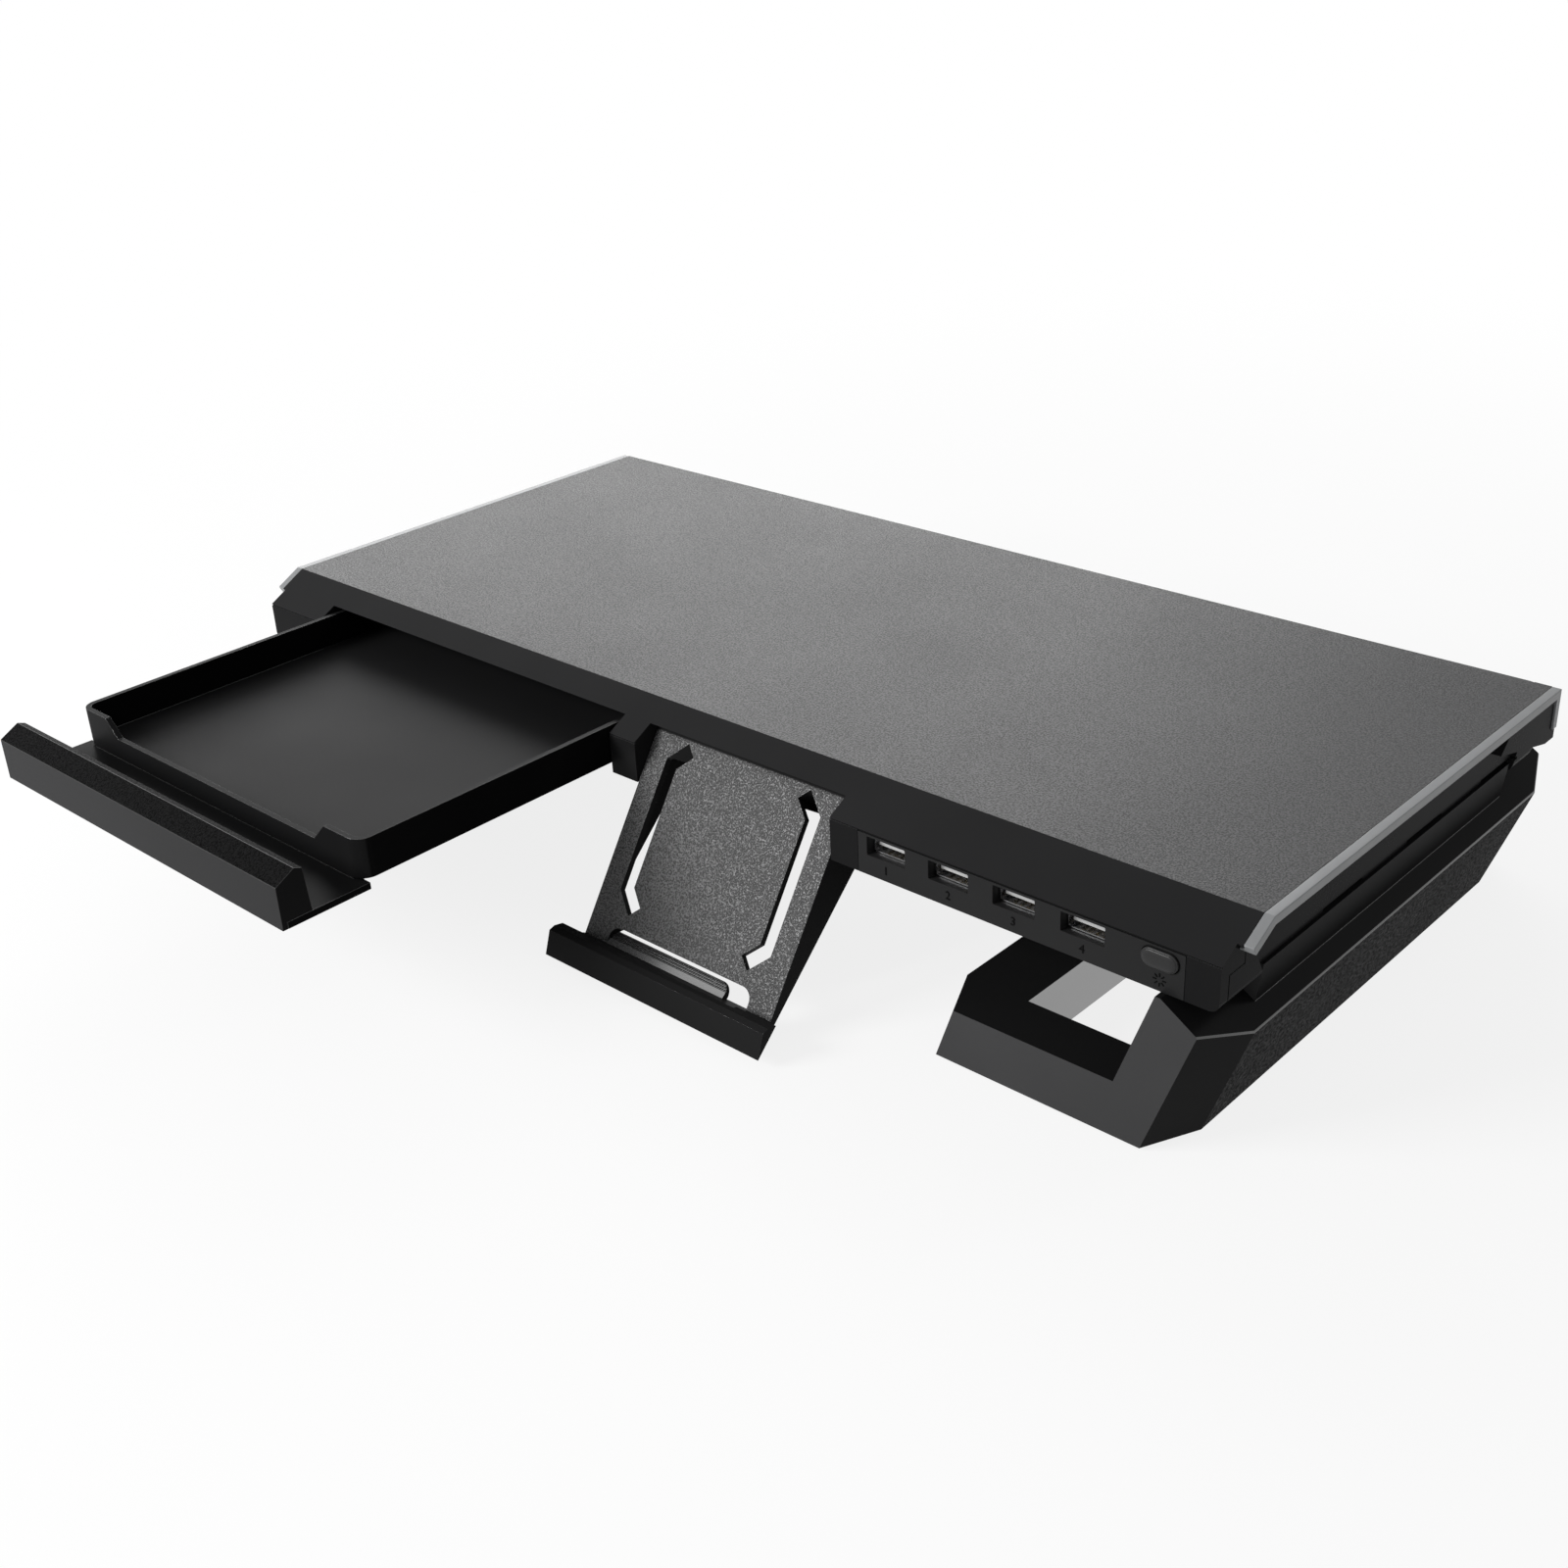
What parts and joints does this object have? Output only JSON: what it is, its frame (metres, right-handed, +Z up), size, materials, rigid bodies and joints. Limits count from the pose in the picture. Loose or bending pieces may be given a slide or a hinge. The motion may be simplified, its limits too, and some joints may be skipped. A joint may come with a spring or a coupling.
{
  "type": "monitor stand",
  "caption": "Low black monitor stand on leaning legs, with a pull-out drawer, a tilting phone holder, a hub panel with ports and a light button, and light strips.",
  "frame": {"origin": "bottom centre of the box around the stand with its drawer pulled out and its holder down", "axes": "+X to the right along the length, +Y to the back, +Z up"},
  "size_m": [0.422, 0.3294, 0.0731],
  "materials": {
    "shell_plastic": "fine spark-textured charcoal plastic",
    "frame_plastic": "satin black moulded plastic",
    "leg_plastic": "black moulded plastic with a pebbled outer wall",
    "holder_plastic": "black plastic with a pebbled face",
    "diffuser": "frosted translucent plastic",
    "light_tape": "satin",
    "board": "solder mask",
    "port_metal": "bright",
    "port_insert": "satin",
    "contact": "plated",
    "button_plastic": "semi-gloss",
    "switch_plastic": "satin",
    "screw_steel": "zinc black",
    "pin_steel": "ground",
    "pad_rubber": "matt"
  },
  "bodies": {
    "stand": {"top_shell": "shell_plastic", "bottom_cover": "frame_plastic", "hub_panel": "frame_plastic", "leg_left_shell": "leg_plastic", "leg_right_shell": "leg_plastic", "leg_left_cover": "leg_plastic", "leg_right_cover": "leg_plastic", "light_strip_left": "diffuser", "light_strip_right": "diffuser", "light_tape_left": "light_tape", "light_tape_right": "light_tape", "hub_board": "board", "port_shells": "port_metal", "rear_socket": "port_metal", "port_tongues": "port_insert", "port_contacts": "contact", "button_switch": "switch_plastic", "cover_screws": "screw_steel", "board_screws": "screw_steel", "leg_screws": "screw_steel", "leg_cover_screws": "screw_steel", "foot_pads": "pad_rubber"},
    "drawer": {"drawer_front": "frame_plastic", "drawer_tray": "frame_plastic", "drawer_screws": "screw_steel"},
    "carriage": {"holder_carriage": "frame_plastic"},
    "holder": {"holder_panel": "holder_plastic", "holder_back": "holder_plastic", "holder_screws": "screw_steel", "hinge_pins": "pin_steel"},
    "button": {"light_button": "button_plastic"}
  },
  "joints": [
    {"name": "drawer_slide", "type": "slide", "parent": "stand", "child": "drawer", "axis": [0, 1, 0], "range_m": [0, 0.126]},
    {"name": "holder_slide", "type": "slide", "parent": "stand", "child": "carriage", "axis": [0, 1, 0], "range_m": [0, 0.051]},
    {"name": "holder_tilt", "type": "hinge", "parent": "carriage", "child": "holder", "pos_m": [0.0354, -0.02218, 0.05995], "axis": [-1, 0, 0], "range_deg": [0, 43.5]},
    {"name": "button_press", "type": "slide", "parent": "stand", "child": "button", "axis": [0, 1, 0], "range_m": [0, 0.0006], "stiffness_N_per_m": 400}
  ]
}
